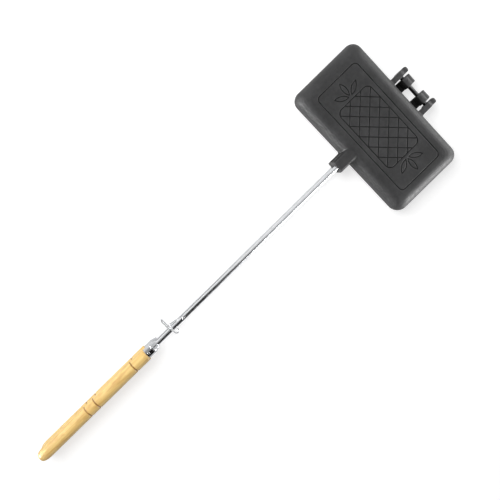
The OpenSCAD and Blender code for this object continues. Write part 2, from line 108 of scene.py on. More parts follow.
# Low lights that only gloss shows: name, place, aim, size and share of the sheen power
GLOSS_LIGHTS = (
    ("sheen_light", (0.50, -0.95, 0.13), (0.30, -0.1, 0.03), (0.8, 0.2), 0.65),
    ("rim_light", (-0.6, 0.4, 0.13), (0.22, 0.05, 0.03), (0.6, 0.2), 0.5),
    ("hinge_light", (1.1, -0.3, 0.13), (0.33, -0.02, 0.03), (0.6, 0.2), 0.2),
)
GLOSS_SPREAD = 75

# Cards that only gloss shows hang at this height
CARD_HEIGHT = 1.05

# Outline of the dark card: the end past the head, its +Y edge, and back along its -Y edge
DARK_CARD = (
    (0.9, -0.7), (0.9, 0.9),
    (0.54, 0.7), (0.46, 0.16), (0.1, 0.26), (-0.03, 0.32),
    (-0.09, 1.5), (-0.33, 1.5), (-0.33, 0.16), (-1.2, 0.16),
    (-1.2, -2.6), (-0.12, -2.6), (-0.04, -1.2), (0.04, -0.5),
    (0.12, -0.15), (0.46, -0.05), (0.54, -0.6),
)

# Outline of the grey card beside it, over the handles
GREY_CARD = ((-0.34, 0.18), (-0.34, 2.4), (-1.2, 2.4), (-1.2, 0.18))

# Half the width of the floor. It pales beyond the first distance from its middle,
# and would be white at the second.
FLOOR_HALF = 6.0
FLOOR_PALES = (6.0, 19.2)


# ---- Settings that a user would change ----


class CastSettings(bpy.types.PropertyGroup):
    """Surface of the two cast shells."""

    color: FloatVectorProperty(
        name="Iron colour",
        description="Colour of the seasoned iron where it is darkest",
        subtype="COLOR",
        size=3,
        default=(0.0215, 0.0215, 0.022),
    )
    dusty_color: FloatVectorProperty(
        name="Dusty colour",
        description="Colour of the paler patches in the seasoning",
        subtype="COLOR",
        size=3,
        default=(0.039, 0.039, 0.040),
    )
    worn_color: FloatVectorProperty(
        name="Worn colour",
        description="Colour of the iron where its edges are rubbed",
        subtype="COLOR",
        size=3,
        default=(0.11, 0.11, 0.113),
    )
    # The soot colour is painted shade: it darkens the lines, the lug roots, the seam and the socket
    # flanks where shade falls
    painted_shade_color: FloatVectorProperty(
        name="Soot colour",
        description="Colour of the soot in the lines, on the lugs and round the sockets",
        subtype="COLOR",
        size=3,
        default=(0.004, 0.004, 0.004),
    )
    upper_cell: FloatProperty(
        name="Upper shell detail",
        description="Size of the smallest facets on the engraved shell",
        default=0.5 * MM,
        unit="LENGTH",
    )
    lower_cell: FloatProperty(
        name="Lower shell detail",
        description="Size of the smallest facets on the plain shell",
        default=0.7 * MM,
        unit="LENGTH",
    )
    skin_depth: FloatProperty(
        name="Sand skin depth",
        description="Depth of the uneven skin that the sand mould leaves",
        default=0.09 * MM,
        unit="LENGTH",
    )


class WoodSettings(bpy.types.PropertyGroup):
    """Turned handles."""

    color: FloatVectorProperty(
        name="Wood colour",
        description="Main colour of the wood",
        subtype="COLOR",
        size=3,
        default=(0.80, 0.53, 0.18),
    )
    pale_color: FloatVectorProperty(
        name="Pale wood colour",
        description="Colour of the pale growth between the grain lines",
        subtype="COLOR",
        size=3,
        default=(0.88, 0.625, 0.235),
    )
    grain_color: FloatVectorProperty(
        name="Grain colour",
        description="Colour of the dark grain lines",
        subtype="COLOR",
        size=3,
        default=(0.52, 0.255, 0.055),
    )
    groove_color: FloatVectorProperty(
        name="Groove colour",
        description="Colour at the bottom of the turned grooves",
        subtype="COLOR",
        size=3,
        default=(0.30, 0.13, 0.02),
    )
    groove_width: FloatProperty(
        name="Groove width",
        description="Width of the turned grooves",
        default=2.6 * MM,
        unit="LENGTH",
    )
    groove_depth: FloatProperty(
        name="Groove depth",
        description="Depth of the turned grooves",
        default=1.0 * MM,
        unit="LENGTH",
    )


class SteelSettings(bpy.types.PropertyGroup):
    """Plated rods, ferrules, pins and wire."""

    rod_color: FloatVectorProperty(
        name="Plating colour",
        description="Colour of the plated rods",
        subtype="COLOR",
        size=3,
        default=(0.68, 0.69, 0.705),
    )
    ferrule_color: FloatVectorProperty(
        name="Ferrule colour",
        description="Colour of the plated ferrules and their pins",
        subtype="COLOR",
        size=3,
        default=(0.50, 0.51, 0.525),
    )
    wire_color: FloatVectorProperty(
        name="Wire colour",
        description="Colour of the keeper's zinc-plated wire",
        subtype="COLOR",
        size=3,
        default=(0.68, 0.69, 0.70),
    )
    pin_color: FloatVectorProperty(
        name="Pin colour",
        description="Colour of the bare steel of the hinge and socket pins",
        subtype="COLOR",
        size=3,
        default=(0.15, 0.15, 0.153),
    )
    rod_roughness: FloatProperty(
        name="Plating roughness",
        description="Roughness of the plated rods",
        default=0.16,
        subtype="FACTOR",
        min=0.0,
        max=1.0,
    )


class StageSettings(bpy.types.PropertyGroup):
    """Camera, floor and lights."""

    camera_place: FloatVectorProperty(
        name="Camera place",
        description="Where the camera stands",
        subtype="XYZ",
        unit="LENGTH",
        size=3,
        default=(0.0334, 0.1120, 0.9226),
    )
    camera_turn: FloatVectorProperty(
        name="Camera turn",
        description="How the camera is turned",
        subtype="EULER",
        unit="ROTATION",
        size=3,
        default=(math.radians(-4.935), math.radians(-4.981), math.radians(-44.244)),
    )
    lens: FloatProperty(
        name="Lens",
        description="Focal length in millimetres on a 36 mm wide sensor",
        default=48.84,
    )
    main_power: FloatProperty(
        name="Main light power",
        description="Power in watts of the large soft light above one side",
        default=18.5,
    )
    sheen_power: FloatProperty(
        name="Sheen light power",
        description="Power in watts that the low lights take their shares of",
        default=6.0,
    )
    ambient: FloatProperty(
        name="Surrounding light",
        description="Strength of the light from all round",
        default=0.3,
    )
    floor_lift: FloatProperty(
        name="Floor lift",
        description="How much the floor is lifted towards white as the camera sees it",
        default=0.66,
    )


class PieIronSettings(bpy.types.PropertyGroup):
    """All settings of the pie iron."""

    cast: PointerProperty(type=CastSettings)
    wood: PointerProperty(type=WoodSettings)
    steel: PointerProperty(type=SteelSettings)
    stage: PointerProperty(type=StageSettings)


# ---- Finishes ----


class Finish:
    """A material with its shader, and short ways to add procedural detail."""

    def __init__(self, name):
        self.material = bpy.data.materials.new(name)
        self.material.use_nodes = True
        self.nodes = self.material.node_tree.nodes
        self.links = self.material.node_tree.links
        self.shader = self.nodes["Principled BSDF"]
        self.place = self.nodes.new("ShaderNodeTexCoord").outputs["Object"]

    def feed(self, socket, value):
        """Links another socket to this one, or sets its value."""
        if isinstance(value, bpy.types.NodeSocket):
            self.links.new(value, socket)
        elif socket.type == "RGBA":
            socket.default_value = (*value, 1.0)
        else:
            socket.default_value = value

    def add(self, kind, inputs, **settings):
        """Adds a node, its settings first, because they decide which inputs it has."""
        node = self.nodes.new(kind)
        for key, value in settings.items():
            setattr(node, key, value)
        for key, value in inputs.items():
            self.feed(node.inputs[key], value)
        return node

    def set(self, name, value):
        """Feeds one input of the shader."""
        self.feed(self.shader.inputs[name], value)

    def stretched(self, lengths):
        """Object coordinates divided by a length in each direction."""
        scale = tuple(1 / length for length in lengths)
        node = self.add("ShaderNodeVectorMath", {0: self.place, 1: scale}, operation="MULTIPLY")
        return node.outputs["Vector"]

    def noise(self, size, detail=3.0, rough=0.55, warp=0.0):
        """Noise whose patches are about size across, in one or three lengths."""
        lengths = size if hasattr(size, "__len__") else (size, size, size)
        inputs = {
            "Vector": self.stretched(lengths),
            "Scale": 1.0,
            "Detail": detail,
            "Roughness": rough,
            "Distortion": warp,
        }
        return self.add("ShaderNodeTexNoise", inputs).outputs["Fac"]

    def attribute(self, name):
        """The number that a mesh stores at each vertex under a name."""
        node = self.add("ShaderNodeAttribute", {}, attribute_name=name)
        return node.outputs["Fac"]

    def spread(self, value, low, high, to_low, to_high):
        """Maps low..high of a value to another range, and holds it there."""
        inputs = {
            "Value": value,
            "From Min": low,
            "From Max": high,
            "To Min": to_low,
            "To Max": to_high,
        }
        return self.add("ShaderNodeMapRange", inputs).outputs["Result"]

    def work(self, operation, first, second, third=0.0):
        """One step of arithmetic on numbers or sockets."""
        inputs = {0: first, 1: second, 2: third}
        return self.add("ShaderNodeMath", inputs, operation=operation).outputs[0]

    def mix(self, share, first, second):
        """Two colours blended by a share of the second."""
        node = self.add("ShaderNodeMix", {}, data_type="RGBA")
        self.feed(node.inputs["Factor"], share)
        self.feed(node.inputs[6], first)
        self.feed(node.inputs[7], second)
        return node.outputs[2]

    def bump(self, height, depth, strength, under=None):
        """Relief that only the shading shows, on top of the relief under it."""
        inputs = {"Height": height, "Distance": depth, "Strength": strength}
        node = self.add("ShaderNodeBump", inputs)
        if under is not None:
            self.links.new(under, node.inputs["Normal"])
        return node.outputs["Normal"]


def cast_iron(cast):
    """Seasoned sand-cast iron: matt, faintly mottled, with a fine grain."""
    finish = Finish("cast_iron")
    clouds = finish.noise(30 * MM, detail=3.0)
    mottle = finish.noise(4.5 * MM, detail=4.0, rough=0.6)
    grain = finish.noise(0.75 * MM, detail=3.0, rough=0.65)
    # Painted shade: the stored share darkens the iron towards the shade colour, and makes it rougher
    painted_shade = finish.attribute("painted_shade_share")
    patches = finish.work("MULTIPLY_ADD", mottle, 0.45, finish.work("MULTIPLY", clouds, 0.55))
    tone = finish.mix(finish.spread(patches, 0.38, 0.62, 0.0, 1.0), cast.color, cast.dusty_color)
    patchy = finish.spread(mottle, 0.35, 0.65, 0.3, 1.0)
    rubbed = finish.work("MULTIPLY", finish.attribute("edge"), patchy)
    tone = finish.mix(finish.work("MULTIPLY", rubbed, 0.45), tone, cast.worn_color)
    finish.set("Base Color", finish.mix(painted_shade, tone, cast.painted_shade_color))
    matt = finish.spread(mottle, 0.3, 0.7, 0.5, 0.62)
    finish.set("Roughness", finish.work("MULTIPLY_ADD", painted_shade, 0.3, matt))
    finish.set("Specular IOR Level", 0.42)
    sand = {"Vector": finish.stretched((1.3 * MM,) * 3), "Scale": 1.0, "Smoothness": 0.6}
    pebbles = finish.add("ShaderNodeTexVoronoi", sand, feature="SMOOTH_F1").outputs["Distance"]
    uneven = finish.bump(finish.noise(6 * MM, detail=2.0), 0.22 * MM, 0.8)
    coarse = finish.bump(pebbles, 0.11 * MM, 0.9, uneven)
    finish.set("Normal", finish.bump(grain, 0.08 * MM, 0.9, coarse))
    return finish.material


def plated_steel(name, color, roughness, along=(60 * MM, 0.4 * MM, 0.4 * MM), metal=1.0):
    """Bright plating with fine drawing marks along the bar."""
    finish = Finish(name)
    marks = finish.noise(along, detail=2.0)
    smudges = finish.noise(9 * MM, detail=3.0)
    dull = tuple(0.86 * part for part in color)
    finish.set("Base Color", finish.mix(finish.spread(smudges, 0.4, 0.7, 0.0, 0.7), color, dull))
    finish.set("Metallic", metal)
    finish.set("Roughness", finish.spread(smudges, 0.35, 0.7, roughness, roughness + 0.12))
    finish.set("Normal", finish.bump(marks, 0.012 * MM, 0.6))
    return finish.material


def bare_steel(name, color):
    """Dull steel of the pins, with a trace of heat scale, and painted shade where it is marked."""
    finish = Finish(name)
    scale = finish.noise(2.2 * MM, detail=4.0, rough=0.6)
    fine = finish.noise(0.35 * MM, detail=2.0)
    # Colour of the painted shade on the pins
    painted_shade = (0.006, 0.006, 0.006)
    dark = tuple(0.55 * part for part in color)
    scaled = finish.mix(finish.spread(scale, 0.35, 0.65, 0.0, 1.0), color, dark)
    finish.set("Base Color", finish.mix(finish.attribute("painted_shade_share"), scaled, painted_shade))
    finish.set("Metallic", 0.85)
    finish.set("Roughness", finish.spread(scale, 0.3, 0.7, 0.45, 0.62))
    finish.set("Normal", finish.bump(fine, 0.03 * MM, 0.6))
    return finish.material


def growth_rings(finish, width):
    """Rings of wood round a pith that lies under the handles and slants across them."""
    pith_below = 26 * MM
    pith_aside = 1.5 * MM
    waviness = 5 * MM
    x, y, z = finish.add("ShaderNodeSeparateXYZ", {0: finish.place}).outputs
    wander = finish.work("MULTIPLY", finish.noise((60 * MM, 14 * MM, 14 * MM), detail=2.0), waviness)
    slant = finish.work("MULTIPLY_ADD", x, 0.05, z)
    down = finish.work("ADD", finish.work("ADD", slant, pith_below), wander)
    aside = finish.work("ADD", finish.work("MULTIPLY_ADD", x, -0.02, y), pith_aside)
    square = finish.work("ADD", finish.work("POWER", down, 2.0), finish.work("POWER", aside, 2.0))
    turns = finish.work("MULTIPLY", finish.work("POWER", square, 0.5), 2 * math.pi / width)
    return finish.work("SINE", turns, 0.0)


def turned_wood(wood):
    """Pale varnished wood with its grain along the handle and burnt grooves."""
    finish = Finish("handle_wood")
    bands = finish.noise((95 * MM, 3.6 * MM, 3.6 * MM), detail=2.5, rough=0.5, warp=0.6)
    lines = finish.noise((26 * MM, 0.55 * MM, 0.55 * MM), detail=3.0, rough=0.6)
    blotches = finish.noise((17 * MM, 7 * MM, 7 * MM), detail=2.0)
    rings = growth_rings(finish, 3.4 * MM)
    tone = finish.mix(finish.spread(bands, 0.35, 0.62, 0.0, 1.0), wood.pale_color, wood.color)
    late = finish.spread(rings, 0.3, 1.0, 0.0, 0.38)
    late = finish.work("MULTIPLY", late, finish.spread(blotches, 0.3, 0.6, 0.4, 1.0))
    tone = finish.mix(late, tone, wood.grain_color)
    dense = finish.spread(bands, 0.5, 0.7, 0.15, 1.0)
    streaks = finish.work("MULTIPLY", dense, finish.spread(lines, 0.52, 0.72, 0.0, 1.0))
    tone = finish.mix(finish.work("MULTIPLY", streaks, 0.6), tone, wood.grain_color)
    tone = finish.mix(finish.spread(blotches, 0.52, 0.72, 0.0, 0.35), tone, wood.grain_color)
    tone = finish.mix(finish.attribute("groove"), tone, wood.groove_color)
    finish.set("Base Color", tone)
    finish.set("Roughness", finish.spread(lines, 0.35, 0.7, 0.38, 0.52))
    finish.set("Coat Weight", 0.12)
    finish.set("Coat Roughness", 0.25)
    finish.set("Normal", finish.bump(lines, 0.04 * MM, 0.5))
    return finish.material


# ---- Meshes ----


def add_piece(name, mesh, body, node, material, sharp):
    """Puts a dressed piece in the place of one solid.

    Edges that bend by more than sharp, in degrees, stay crisp.
    """
    piece = bpy.data.objects.new(name, mesh)
    bpy.context.scene.collection.objects.link(piece)
    mesh.materials.clear()
    mesh.materials.append(material)
    mesh.shade_smooth()
    mesh.set_sharp_from_angle(angle=math.radians(sharp))
    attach(piece, body)
    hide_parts(node)


def welded_copy(node):
    """Mesh of a solid with its corners joined again."""
    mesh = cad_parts[node].data.copy()
    mesh.transform(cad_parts[node].matrix_world)
    # Normals stored for the separate corners would shade the joined ones wrongly
    if "custom_normal" in mesh.attributes:
        mesh.attributes.remove(mesh.attributes["custom_normal"])
    work = bmesh.new()
    work.from_mesh(mesh)
    bmesh.ops.remove_doubles(work, verts=work.verts, dist=WELD)
    bmesh.ops.triangulate(work, faces=work.faces)
    work.to_mesh(mesh)
    work.free()
    mesh.materials.clear()
    return mesh


def worked_mesh(mesh, steps, groups=()):
    """Mesh after a list of modifiers, each a kind and its settings."""
    carrier = bpy.data.objects.new("work", mesh)
    bpy.context.scene.collection.objects.link(carrier)
    for name in groups:
        if name not in carrier.vertex_groups:
            carrier.vertex_groups.new(name=name)
    for kind, settings in steps:
        modifier = carrier.modifiers.new(kind, kind)
        for key, value in settings.items():
            setattr(modifier, key, value)
    graph = bpy.context.evaluated_depsgraph_get()
    result = bpy.data.meshes.new_from_object(carrier.evaluated_get(graph), depsgraph=graph)
    bpy.data.objects.remove(carrier)
    if not result.polygons:
        raise RuntimeError("a mesh came out empty")
    return result


def vertex_arrays(mesh):
    """Places and normals of all vertices."""
    count = len(mesh.vertices)
    places = np.empty(count * 3, np.float32)
    mesh.vertices.foreach_get("co", places)
    normals = np.empty(count * 3, np.float32)
    mesh.vertices.foreach_get("normal", normals)
    return places.reshape(-1, 3), normals.reshape(-1, 3)


def sink_skin(mesh, depth, scales):
    """Sinks each vertex by noise of several scales, so that nothing grows."""
    places, normals = vertex_arrays(mesh)
    shift = np.zeros(len(places), np.float32)
    for size, share in scales:
        level = [noise.noise(Vector(place) / size) for place in places]
        shift -= depth * share * (0.5 + 0.5 * np.array(level, np.float32))
    mesh.vertices.foreach_set("co", (places + normals * shift[:, None]).ravel())
    mesh.update()


def bulges(mesh, rounds):
    """How strongly the surface bulges at each vertex, in 1 / metre, and its places."""
    places, normals = vertex_arrays(mesh)
    ends = np.empty(len(mesh.edges) * 2, np.int32)
    mesh.edges.foreach_get("vertices", ends)
    ends = ends.reshape(-1, 2)
    ways = places[ends[:, 1]] - places[ends[:, 0]]
    squares = np.maximum((ways**2).sum(1), WELD**2)
    bulge = np.zeros(len(places))
    count = np.zeros(len(places))
    for near, sign in ((0, -1), (1, 1)):
        fall = sign * (ways * normals[ends[:, near]]).sum(1) / squares
        np.add.at(bulge, ends[:, near], fall)
        np.add.at(count, ends[:, near], 1)
    bulge /= np.maximum(count, 1)
    for _ in range(rounds):
        total = np.zeros(len(places))
        np.add.at(total, ends[:, 0], bulge[ends[:, 1]])
        np.add.at(total, ends[:, 1], bulge[ends[:, 0]])
        bulge = 0.5 * bulge + 0.5 * total / np.maximum(count, 1)
    return bulge, places


def store(mesh, name, values):
    """Keeps one number per vertex as an attribute that a finish can read."""
    layer = mesh.attributes.new(name, "FLOAT", "POINT")
    layer.data.foreach_set("value", np.asarray(values, np.float32))


def fade(values, start, stop):
    """0 at start, 1 at stop, smooth in between."""
    share = np.clip((values - start) / (stop - start), 0, 1)
    return share * share * (3 - 2 * share)


def lathe(name, profile, centre, axis, segments=96, closed=False):
    """Turns a profile of (place along the axis, radius) round an axis.

    A radius of zero at either end closes the piece with a point.
    """
    along = Vector(axis).normalized()
    side = along.orthogonal().normalized()
    up = along.cross(side)
    work = bmesh.new()
    rings = []
    for place, radius in profile:
        middle = Vector(centre) + along * place
        if radius < WELD:
            rings.append([work.verts.new(middle)])
            continue
        ring = []
        for step in range(segments):
            angle = 2 * math.pi * step / segments
            out = side * math.cos(angle) + up * math.sin(angle)
            ring.append(work.verts.new(middle + radius * out))
        rings.append(ring)
    pairs = list(zip(rings, rings[1:]))
    if closed:
        pairs.append((rings[-1], rings[0]))
    for first, second in pairs:
        for step in range(segments):
            ahead = (step + 1) % segments
            corners = [first[step % len(first)], first[ahead % len(first)]]
            corners += [second[ahead % len(second)], second[step % len(second)]]
            work.faces.new(list(dict.fromkeys(corners)))
    bmesh.ops.recalc_face_normals(work, faces=work.faces)
    mesh = bpy.data.meshes.new(name)
    work.to_mesh(mesh)
    work.free()
    return mesh


def arc(centre, radius, start, stop, steps=6, rise=None):
    """Points of an arc in a profile, with angles in degrees from the axis.

    A rise stretches the arc to that height, so that it is part of an ellipse.
    """
    height = radius if rise is None else rise
    points = []
    for step in range(steps + 1):
        angle = math.radians(start + (stop - start) * step / steps)
        points.append((centre[0] + radius * math.cos(angle), centre[1] + height * math.sin(angle)))
    return points


def pin_profile(length, radius, round_off):
    """A plain pin with rounded ends, from -length/2 to length/2."""
    half = length / 2
    points = [(-half, 0.0), (-half, radius - round_off)]
    points += arc((-half + round_off, radius - round_off), round_off, 180, 90)[1:]
    points += arc((half - round_off, radius - round_off), round_off, 90, 0)
    points += [(half, 0.0)]
    return points


def box_middle(node):
    """Middle and size of a solid's box."""
    low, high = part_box(node)
    return (low + high) / 2, high - low


# ---- One operator for each group of like pieces ----


class PIEIRON_OT_cast_shells(bpy.types.Operator):
    """Makes the two cast shells with soft edges, a sand skin and rubbed rims"""

    bl_idname = "pie_iron.cast_shells"
    bl_label = "Cast Shells"

    def execute(self, context):
        cast = context.scene.pie_iron.cast
        iron = cast_iron(cast)
        # Node, body, size of a facet, rounds of smoothing and share of the facets to keep
        shells = (
            ("lower_shell", LOWER, cast.lower_cell, 4, 0.45),
            ("upper_shell", UPPER, cast.upper_cell, 5, 0.38),
        )
        for node, body, cell, rounds, kept in shells:
            steps = [
                ("REMESH", {"mode": "VOXEL", "voxel_size": cell}),
                ("SMOOTH", {"factor": 0.5, "iterations": rounds}),
            ]
            mesh = worked_mesh(welded_copy(node), steps)
            mesh = self.filleted(mesh, kept)
            sink_skin(mesh, cast.skin_depth, SAND_SKIN)
            self.mark(mesh, node)
            add_piece("cast_" + node, mesh, body, node, iron, sharp=180)
        return {"FINISHED"}

    def filleted(self, mesh, kept):
        """Rounds the inner corners round the socket and the hinge, and thins the mesh.

        The outer faces are left out, so that the engraved lines stay crisp.
        """
        bulge, places = bulges(mesh, 3)
        outer_face = np.abs(places[:, 2] - MIDDLE_Z) > MIDDLE_Z - 1.2 * MM
        weights = np.clip(-bulge * CORNER_RADIUS, 0, 1) * ~outer_face
        # The mesh keeps the weights when the object that names their group is gone
        carrier = bpy.data.objects.new("work", mesh)
        group = carrier.vertex_groups.new(name="corner")
        for index in np.flatnonzero(weights > 0.05):
            group.add([int(index)], float(weights[index]), "REPLACE")
        bpy.data.objects.remove(carrier)
        steps = [
            ("SMOOTH", {"factor": 0.5, "iterations": 130, "vertex_group": "corner"}),
            ("DECIMATE", {"ratio": kept}),
        ]
        return worked_mesh(mesh, steps, ("corner",))

    def mark(self, mesh, node):
        """Stores where the iron is rubbed, and where shade is painted into it."""
        bulge, places = bulges(mesh, 2)
        pin, pin_size = box_middle("hinge_pin")
        from_pin = places[:, 0] - pin.x
        from_mouth = places[:, 0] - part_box("upper_shell")[0].x
        lugs = fade(from_pin, *LUG_ROOTS) * (1 - fade(from_pin, *LUG_ENDS))
        lugs *= (np.abs(places[:, 1]) < pin_size.y / 2) & (node == "lower_shell")
        handled = fade(from_pin, *KNUCKLES) * (1 - lugs)
        seam = 1 - fade(np.abs(places[:, 2] - MIDDLE_Z), *SEAM_HEIGHT)
        seam *= 1 - fade(from_mouth, *SEAM_END)
        flank = fade(np.abs(vertex_arrays(mesh)[1][:, 1]), 0.6, 0.85)
        flank *= 1 - fade(from_mouth, *FLANK_END)
        grooves = np.clip(-bulge * GROOVE_RADIUS, 0, 1)
        lines = self.engraved(places)
        # Painted shade in the lug roots, along the seam, on the socket flanks, in the grooves and in
        # the engraved lines
        shade_marks = ((lugs, 1.2), (seam, 0.8), (flank, 0.9), (grooves, 0.7), (lines, 0.8))
        painted_shade_share = sum(amount * place for place, amount in shade_marks)
        edge = np.clip(bulge * RUBBED_RADIUS, 0, 1) * (1 - 0.5 * self.on_face(places))
        store(mesh, "edge", np.clip(edge + 0.35 * handled, 0, 1))
        store(mesh, "painted_shade_share", np.clip(painted_shade_share, 0, 1))

    def on_face(self, places):
        """One on the flat outer faces, zero on their rounded edges."""
        middle_x = box_middle("hinge_pin")[0].x - FACE_FROM_PIN
        along = np.abs(places[:, 0] - middle_x)
        across = np.abs(places[:, 1])
        height = np.abs(places[:, 2] - MIDDLE_Z)
        inside = (along < FACE_HALF_LENGTH) & (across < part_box("upper_shell")[1].y - FACE_BAND)
        return inside * (height > MIDDLE_Z - 2 * MM)

    def engraved(self, places):
        """Depth below the flat face, from zero to one at the bottom of a line."""
        depth = MIDDLE_Z - np.abs(places[:, 2] - MIDDLE_Z)
        return fade(depth, 0.22 * MM, 0.5 * MM) * self.on_face(places)


class PIEIRON_OT_rods(bpy.types.Operator):
    """Makes the two plated rods, the upper one with its drilled eye"""

    bl_idname = "pie_iron.rods"
    bl_label = "Rods"

    def execute(self, context):
        steel = context.scene.pie_iron.steel
        plating = plated_steel("rod_steel", steel.rod_color, steel.rod_roughness)
        # Painted shade: the faces inside the drilled eye get dull dark steel, so that the hole looks
        # dark
        bare = bare_steel("bore_painted_shade", steel.pin_color)
        for node, body in (("lower_rod", LOWER), ("upper_rod", UPPER)):
            mesh = welded_copy(node)
            add_piece("plated_" + node, mesh, body, node, plating, sharp=30)
            mesh.materials.append(bare)
            middle, size = box_middle(node)
            for face in mesh.polygons:
                if self.bored(face, middle.z, size.z / 2):
                    face.material_index = 1
        return {"FINISHED"}

    def bored(self, face, axis_z, radius):
        """True for a face of a cross hole: deep in the rod, or not square to its skin."""
        if abs(face.normal.x) >= 0.95:
            return False
        out = Vector((0, face.center.y, face.center.z - axis_z))
        deep = out.length < radius - 0.5 * MM
        return deep or abs(face.normal.dot(out.normalized())) < 0.5


class PIEIRON_OT_ferrules(bpy.types.Operator):
    """Makes the two drawn ferrules between the handles and the rods"""

    bl_idname = "pie_iron.ferrules"
    bl_label = "Ferrules"

    def execute(self, context):
        steel = context.scene.pie_iron.steel
        bright = plated_steel("ferrule_chrome", steel.ferrule_color, 0.14, (3 * MM,) * 3)
        profile = self.profile()
        for node, body in (("lower_ferrule", LOWER), ("upper_ferrule", UPPER)):
            middle, size = box_middle(node)
            rear = Vector((middle.x - size.x / 2, 0, middle.z))
            mesh = lathe(node, profile, rear, (1, 0, 0), closed=True)
            add_piece("drawn_" + node, mesh, body, node, bright, sharp=50)
        return {"FINISHED"}

    def profile(self):
        """Half section: sleeve over the wood, rolled bead, taper, nose and bore."""
        radius = 7.3 * MM
        wall = 0.9 * MM
        sleeve = 10.7 * MM
        length = 19.7 * MM
        lip = 0.35 * MM
        bead_half = 0.9 * MM
        bead_rise = 0.35 * MM
        nose = 1.2 * MM
        nose_radius = 5.5 * MM
        bore = 3.23 * MM
        chamfer = 0.3 * MM
        points = arc((lip, radius - lip), lip, 180, 90, 4)
        points += [(sleeve * share, radius) for share in (0.2, 0.4, 0.6, 0.8)]
        points += [(sleeve - 0.2 * MM, radius)]
        points += arc((sleeve + bead_half, radius), bead_half, 180, 0, 10, bead_rise)
        points += [(sleeve + 2.0 * MM, radius - 0.35 * MM), (sleeve + 2.4 * MM, radius - 0.45 * MM)]
        points += arc((length - nose, nose_radius - nose), nose, 75, 0, 8)
        points += [(length, bore + chamfer), (length - chamfer, bore), (sleeve + 1 * MM, bore)]
        points += [(sleeve, radius - wall), (0, radius - wall)]
        return points


class PIEIRON_OT_handles(bpy.types.Operator):
    """Turns the two wooden handles with their grooves"""

    bl_idname = "pie_iron.handles"
    bl_label = "Handles"

    def execute(self, context):
        wood = context.scene.pie_iron.wood
        varnished = turned_wood(wood)
        profile, depths = self.profile(wood)
        stations = [at for at, _ in profile]
        for node, body in (("lower_handle", LOWER), ("upper_handle", UPPER)):
            middle, size = box_middle(node)
            front_x = middle.x - size.x / 2 + HANDLE_LENGTH
            mesh = lathe(node, profile, (front_x, 0, middle.z), (-1, 0, 0))
            from_front = front_x - vertex_arrays(mesh)[0][:, 0]
            store(mesh, "groove", np.interp(from_front, stations, depths))
            sink_skin(mesh, 0.1 * MM, TURNED_SKIN)
            add_piece("turned_" + node, mesh, body, node, varnished, sharp=60)
        return {"FINISHED"}

    def profile(self, wood):
        """Half section from the ferrule to the butt, and how far in a groove each point is."""
        radius = 8.75 * MM
        bore = 3.3 * MM
        front_run = 1.6 * MM
        front_drop = 0.8 * MM
        butt_run = 13 * MM
        butt_radius = 4.5 * MM
        spacing = 1.5 * MM
        grooves = (23.5 * MM, 92 * MM, 108 * MM)
        half_groove = wood.groove_width / 2
        straight = HANDLE_LENGTH - butt_run
        stops = {0.0, front_run / 2, front_run, straight}
        stops |= {step * spacing for step in range(2, int(straight / spacing))}
        stops |= {groove + half_groove * step / 6 for groove in grooves for step in range(-8, 9)}
        points = [(0.0, bore)]
        depths = [0.0]
        for at in sorted({round(stop, 9) for stop in stops}):
            size = radius
            depth = 0.0
            if at < front_run:
                size -= front_drop * (1 - at / front_run) ** 1.5
            for groove in grooves:
                off = abs(at - groove) / half_groove
                if off < 1:
                    size -= wood.groove_depth * math.cos(off * math.pi / 2) ** 1.2
                    depth = 1 - off**2
            points.append((at, size))
            depths.append(depth)
        butt = arc((straight, butt_radius), butt_run, 90, 0, 12, radius - butt_radius)[1:]
        butt += [(HANDLE_LENGTH, butt_radius * share) for share in (0.6, 0.3, 0.0)]
        return points + butt, depths + [0.0] * len(butt)


class PIEIRON_OT_pins(bpy.types.Operator):
    """Makes the hinge pin, the socket pins and the ferrule pins"""

    bl_idname = "pie_iron.pins"
    bl_label = "Pins"

    def execute(self, context):
        steel = context.scene.pie_iron.steel
        dull = bare_steel("pin_steel", steel.pin_color)
        cross_pins = (
            ("hinge_pin", UPPER, 0.5 * MM),
            ("lower_socket_pin", LOWER, 0.35 * MM),
            ("upper_socket_pin", UPPER, 0.35 * MM),
        )
        for node, body, round_off in cross_pins:
            middle, size = box_middle(node)
            profile = pin_profile(size.y, size.x / 2, round_off)
            mesh = lathe(node, profile, middle, (0, 1, 0), segments=64)
            # The hinge pin gets painted shade on the side that faces the shells
            from_axis = vertex_arrays(mesh)[0][:, 0] - middle.x
            shade_marks = 1 - fade(from_axis, -1.8 * MM, -0.3 * MM)
            store(mesh, "painted_shade_share", shade_marks * (node == "hinge_pin"))
            add_piece("turned_" + node, mesh, body, node, dull, sharp=50)
        bright = plated_steel("pin_plating", steel.ferrule_color, 0.2, (2 * MM,) * 3)
        for node, body, up in (("lower_ferrule_pin", LOWER, -1), ("upper_ferrule_pin", UPPER, 1)):
            middle, size = box_middle(node)
            foot = Vector((middle.x, 0, middle.z - up * size.z / 2))
            profile = self.domed(size.z, size.x / 2)
            mesh = lathe(node, profile, foot, (0, 0, up), segments=48)
            add_piece("domed_" + node, mesh, body, node, bright, sharp=50)
        return {"FINISHED"}

    def domed(self, tall, head):
        """Half section of a pin with a domed head on a thinner shank."""
        shank = 1.0 * MM
        chamfer = 0.1 * MM
        dome = 0.8 * MM
        points = [(0.0, 0.0), (0.0, shank - chamfer), (chamfer, shank), (tall - dome, shank)]
        points += arc((tall - dome, 0.0), dome, 90, 0, 8, head)
        return points


